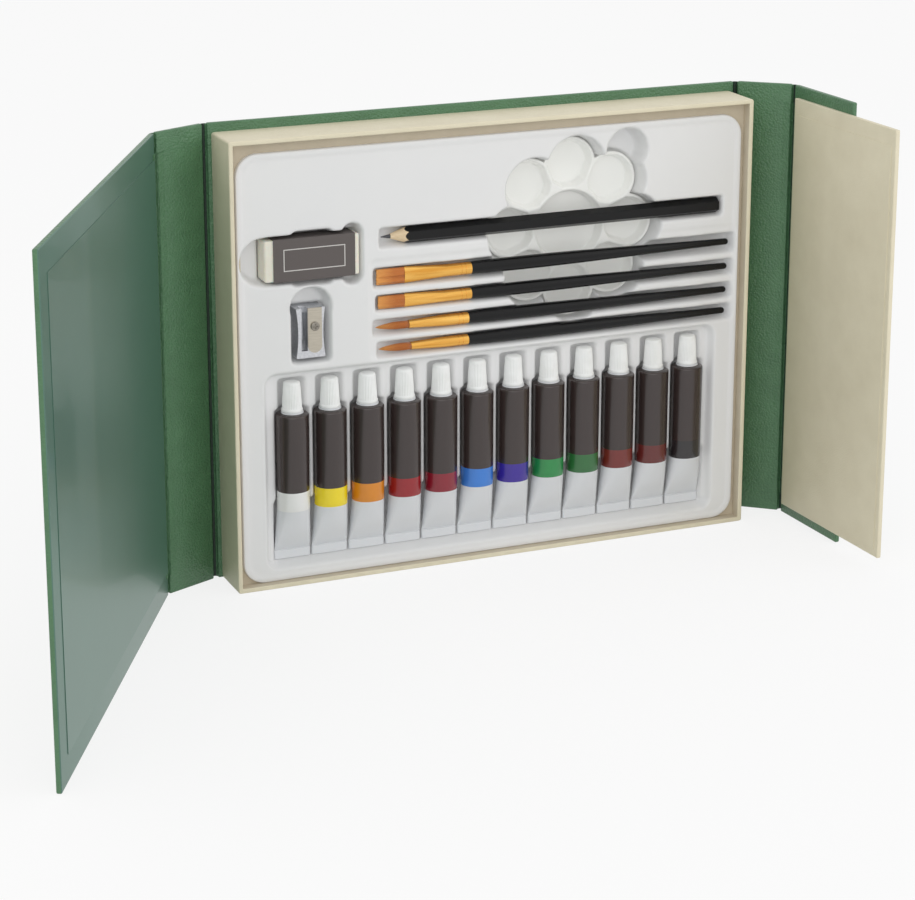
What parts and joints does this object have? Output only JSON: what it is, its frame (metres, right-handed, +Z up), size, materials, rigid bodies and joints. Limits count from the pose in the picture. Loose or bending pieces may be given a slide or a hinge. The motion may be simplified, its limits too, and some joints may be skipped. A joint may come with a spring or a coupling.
{
  "type": "acrylic paint set",
  "caption": "Book-style gift box standing open, with paint tubes, brushes, a pencil, an eraser, a sharpener and a flower palette in a formed insert.",
  "frame": {"origin": "middle of the tray's lower face, on the surface it stands on", "axes": "-Y out of the open side of the tray, +Z up the tray's height, +X to the right of someone looking in"},
  "size_m": [0.4395, 0.211, 0.2245],
  "materials": {
    "green_leatherette": "grained bookbinding paper, satin",
    "cream_leatherette": "fine-grained covering paper, satin",
    "lining_paper": "smooth satin lining paper",
    "magnet": "nickel plated",
    "formed_sheet": "vacuum-formed white sheet",
    "palette_plastic": "moulded white",
    "cap_plastic": "frosted white",
    "pencil_paint": "black lacquer over cedar",
    "graphite": "graphite",
    "eraser_vinyl": "matt vinyl",
    "sleeve_card": "printed card, matt",
    "cast_magnesium": "bright cast and milled",
    "blade_steel": "ground steel",
    "ferrule_brass": "gold-coloured drawn metal",
    "brush_lacquer": "black gloss lacquer",
    "brush_hair": "orange-brown synthetic hair",
    "tube_white": "coated soft tube with a printed colour band",
    "tube_lemon_yellow": "coated soft tube with a printed colour band",
    "tube_ochre": "coated soft tube with a printed colour band",
    "tube_scarlet": "coated soft tube with a printed colour band",
    "tube_crimson": "coated soft tube with a printed colour band",
    "tube_cobalt_blue": "coated soft tube with a printed colour band",
    "tube_violet_blue": "coated soft tube with a printed colour band",
    "tube_viridian": "coated soft tube with a printed colour band",
    "tube_sap_green": "coated soft tube with a printed colour band",
    "tube_burnt_sienna": "coated soft tube with a printed colour band",
    "tube_burnt_umber": "coated soft tube with a printed colour band",
    "tube_black": "coated soft tube with a printed colour band"
  },
  "bodies": {
    "tray": {"back_board": "green_leatherette", "tray_floor": "cream_leatherette", "tray_frame": "cream_leatherette", "insert_tray": "formed_sheet", "left_inner_hinge_cloth": "green_leatherette", "right_inner_hinge_cloth": "green_leatherette"},
    "left_spine": {"left_spine_board": "green_leatherette", "left_outer_hinge_cloth": "green_leatherette"},
    "left_flap": {"left_flap_board": "green_leatherette", "flap_magnets": "magnet", "left_flap_liner": "lining_paper"},
    "right_spine": {"right_spine_board": "green_leatherette", "right_outer_hinge_cloth": "green_leatherette"},
    "right_flap": {"right_flap_board": "green_leatherette", "closing_panel": "cream_leatherette", "panel_magnets": "magnet"},
    "palette": {"palette": "palette_plastic"},
    "pencil": {"pencil_barrel": "pencil_paint", "pencil_lead": "graphite"},
    "eraser": {"eraser_rubber": "eraser_vinyl"},
    "eraser_sleeve": {"eraser_sleeve": "sleeve_card"},
    "sharpener": {"sharpener_body": "cast_magnesium", "sharpener_blade": "blade_steel", "sharpener_screw": "blade_steel"},
    "flat_brush_wide": {"flat_brush_wide_ferrule": "ferrule_brass", "flat_brush_wide_handle": "brush_lacquer", "flat_brush_wide_hair": "brush_hair"},
    "flat_brush_narrow": {"flat_brush_narrow_ferrule": "ferrule_brass", "flat_brush_narrow_handle": "brush_lacquer", "flat_brush_narrow_hair": "brush_hair"},
    "round_brush_large": {"round_brush_large_ferrule": "ferrule_brass", "round_brush_large_handle": "brush_lacquer", "round_brush_large_hair": "brush_hair"},
    "round_brush_small": {"round_brush_small_ferrule": "ferrule_brass", "round_brush_small_handle": "brush_lacquer", "round_brush_small_hair": "brush_hair"},
    "tube_01": {"tube_01": "tube_white"},
    "cap_01": {"cap_01": "cap_plastic"},
    "tube_02": {"tube_02": "tube_lemon_yellow"},
    "cap_02": {"cap_02": "cap_plastic"},
    "tube_03": {"tube_03": "tube_ochre"},
    "cap_03": {"cap_03": "cap_plastic"},
    "tube_04": {"tube_04": "tube_scarlet"},
    "cap_04": {"cap_04": "cap_plastic"},
    "tube_05": {"tube_05": "tube_crimson"},
    "cap_05": {"cap_05": "cap_plastic"},
    "tube_06": {"tube_06": "tube_cobalt_blue"},
    "cap_06": {"cap_06": "cap_plastic"},
    "tube_07": {"tube_07": "tube_violet_blue"},
    "cap_07": {"cap_07": "cap_plastic"},
    "tube_08": {"tube_08": "tube_viridian"},
    "cap_08": {"cap_08": "cap_plastic"},
    "tube_09": {"tube_09": "tube_sap_green"},
    "cap_09": {"cap_09": "cap_plastic"},
    "tube_10": {"tube_10": "tube_burnt_sienna"},
    "cap_10": {"cap_10": "cap_plastic"},
    "tube_11": {"tube_11": "tube_burnt_umber"},
    "cap_11": {"cap_11": "cap_plastic"},
    "tube_12": {"tube_12": "tube_black"},
    "cap_12": {"cap_12": "cap_plastic"}
  },
  "joints": [
    {"name": "left_spine_fold", "type": "hinge", "parent": "tray", "child": "left_spine", "pos_m": [-0.1395, 0.01385, 0], "axis": [0, 0, -1], "range_deg": [-66, 24], "deforming": ["left_inner_hinge_cloth"]},
    {"name": "left_flap_fold", "type": "hinge", "parent": "left_spine", "child": "left_flap", "pos_m": [-0.16782, 0.00124, 0], "axis": [0, 0, -1], "range_deg": [-52, 38], "deforming": ["left_outer_hinge_cloth"]},
    {"name": "right_spine_fold", "type": "hinge", "parent": "tray", "child": "right_spine", "pos_m": [0.1395, 0.01385, 0], "axis": [0, 0, 1], "range_deg": [-50, 40], "deforming": ["right_inner_hinge_cloth"]},
    {"name": "right_flap_fold", "type": "hinge", "parent": "right_spine", "child": "right_flap", "pos_m": [0.16294, -0.00582, 0], "axis": [0, 0, 1], "range_deg": [-42, 48], "deforming": ["right_outer_hinge_cloth"]},
    {"name": "palette_lift", "type": "slide", "parent": "tray", "child": "palette", "axis": [0, -1, 0], "range_m": [0, 0.04]},
    {"name": "flat_brush_wide_lift", "type": "slide", "parent": "palette", "child": "flat_brush_wide", "axis": [0, -1, 0], "range_m": [0, 0.04]},
    {"name": "flat_brush_narrow_lift", "type": "slide", "parent": "palette", "child": "flat_brush_narrow", "axis": [0, -1, 0], "range_m": [0, 0.04]},
    {"name": "round_brush_large_lift", "type": "slide", "parent": "palette", "child": "round_brush_large", "axis": [0, -1, 0], "range_m": [0, 0.04]},
    {"name": "round_brush_small_lift", "type": "slide", "parent": "palette", "child": "round_brush_small", "axis": [0, -1, 0], "range_m": [0, 0.04]},
    {"name": "pencil_lift", "type": "slide", "parent": "palette", "child": "pencil", "axis": [0, -1, 0], "range_m": [0, 0.04]},
    {"name": "eraser_lift", "type": "slide", "parent": "tray", "child": "eraser", "axis": [0, -1, 0], "range_m": [0, 0.04]},
    {"name": "sleeve_slide", "type": "slide", "parent": "eraser", "child": "eraser_sleeve", "axis": [-1, 0, 0], "range_m": [0, 0.004]},
    {"name": "sharpener_lift", "type": "slide", "parent": "tray", "child": "sharpener", "axis": [0, -1, 0], "range_m": [0, 0.04]},
    {"name": "tube_01_lift", "type": "slide", "parent": "tray", "child": "tube_01", "axis": [0, -1, 0], "range_m": [0, 0.04]},
    {"name": "cap_01_turn", "type": "hinge", "parent": "tube_01", "child": "cap_01", "pos_m": [-0.1046, -0.00415, 0.093], "axis": [0, 0, 1], "range_deg": [0, 540]},
    {"name": "tube_02_lift", "type": "slide", "parent": "tray", "child": "tube_02", "axis": [0, -1, 0], "range_m": [0, 0.04]},
    {"name": "cap_02_turn", "type": "hinge", "parent": "tube_02", "child": "cap_02", "pos_m": [-0.0854, -0.00415, 0.093], "axis": [0, 0, 1], "range_deg": [0, 540]},
    {"name": "tube_03_lift", "type": "slide", "parent": "tray", "child": "tube_03", "axis": [0, -1, 0], "range_m": [0, 0.04]},
    {"name": "cap_03_turn", "type": "hinge", "parent": "tube_03", "child": "cap_03", "pos_m": [-0.0662, -0.00415, 0.093], "axis": [0, 0, 1], "range_deg": [0, 540]},
    {"name": "tube_04_lift", "type": "slide", "parent": "tray", "child": "tube_04", "axis": [0, -1, 0], "range_m": [0, 0.04]},
    {"name": "cap_04_turn", "type": "hinge", "parent": "tube_04", "child": "cap_04", "pos_m": [-0.047, -0.00415, 0.093], "axis": [0, 0, 1], "range_deg": [0, 540]},
    {"name": "tube_05_lift", "type": "slide", "parent": "tray", "child": "tube_05", "axis": [0, -1, 0], "range_m": [0, 0.04]},
    {"name": "cap_05_turn", "type": "hinge", "parent": "tube_05", "child": "cap_05", "pos_m": [-0.0278, -0.00415, 0.093], "axis": [0, 0, 1], "range_deg": [0, 540]},
    {"name": "tube_06_lift", "type": "slide", "parent": "tray", "child": "tube_06", "axis": [0, -1, 0], "range_m": [0, 0.04]},
    {"name": "cap_06_turn", "type": "hinge", "parent": "tube_06", "child": "cap_06", "pos_m": [-0.0086, -0.00415, 0.093], "axis": [0, 0, 1], "range_deg": [0, 540]},
    {"name": "tube_07_lift", "type": "slide", "parent": "tray", "child": "tube_07", "axis": [0, -1, 0], "range_m": [0, 0.04]},
    {"name": "cap_07_turn", "type": "hinge", "parent": "tube_07", "child": "cap_07", "pos_m": [0.0106, -0.00415, 0.093], "axis": [0, 0, 1], "range_deg": [0, 540]},
    {"name": "tube_08_lift", "type": "slide", "parent": "tray", "child": "tube_08", "axis": [0, -1, 0], "range_m": [0, 0.04]},
    {"name": "cap_08_turn", "type": "hinge", "parent": "tube_08", "child": "cap_08", "pos_m": [0.0298, -0.00415, 0.093], "axis": [0, 0, 1], "range_deg": [0, 540]},
    {"name": "tube_09_lift", "type": "slide", "parent": "tray", "child": "tube_09", "axis": [0, -1, 0], "range_m": [0, 0.04]},
    {"name": "cap_09_turn", "type": "hinge", "parent": "tube_09", "child": "cap_09", "pos_m": [0.049, -0.00415, 0.093], "axis": [0, 0, 1], "range_deg": [0, 540]},
    {"name": "tube_10_lift", "type": "slide", "parent": "tray", "child": "tube_10", "axis": [0, -1, 0], "range_m": [0, 0.04]},
    {"name": "cap_10_turn", "type": "hinge", "parent": "tube_10", "child": "cap_10", "pos_m": [0.0682, -0.00415, 0.093], "axis": [0, 0, 1], "range_deg": [0, 540]},
    {"name": "tube_11_lift", "type": "slide", "parent": "tray", "child": "tube_11", "axis": [0, -1, 0], "range_m": [0, 0.04]},
    {"name": "cap_11_turn", "type": "hinge", "parent": "tube_11", "child": "cap_11", "pos_m": [0.0874, -0.00415, 0.093], "axis": [0, 0, 1], "range_deg": [0, 540]},
    {"name": "tube_12_lift", "type": "slide", "parent": "tray", "child": "tube_12", "axis": [0, -1, 0], "range_m": [0, 0.04]},
    {"name": "cap_12_turn", "type": "hinge", "parent": "tube_12", "child": "cap_12", "pos_m": [0.1066, -0.00415, 0.093], "axis": [0, 0, 1], "range_deg": [0, 540]}
  ]
}
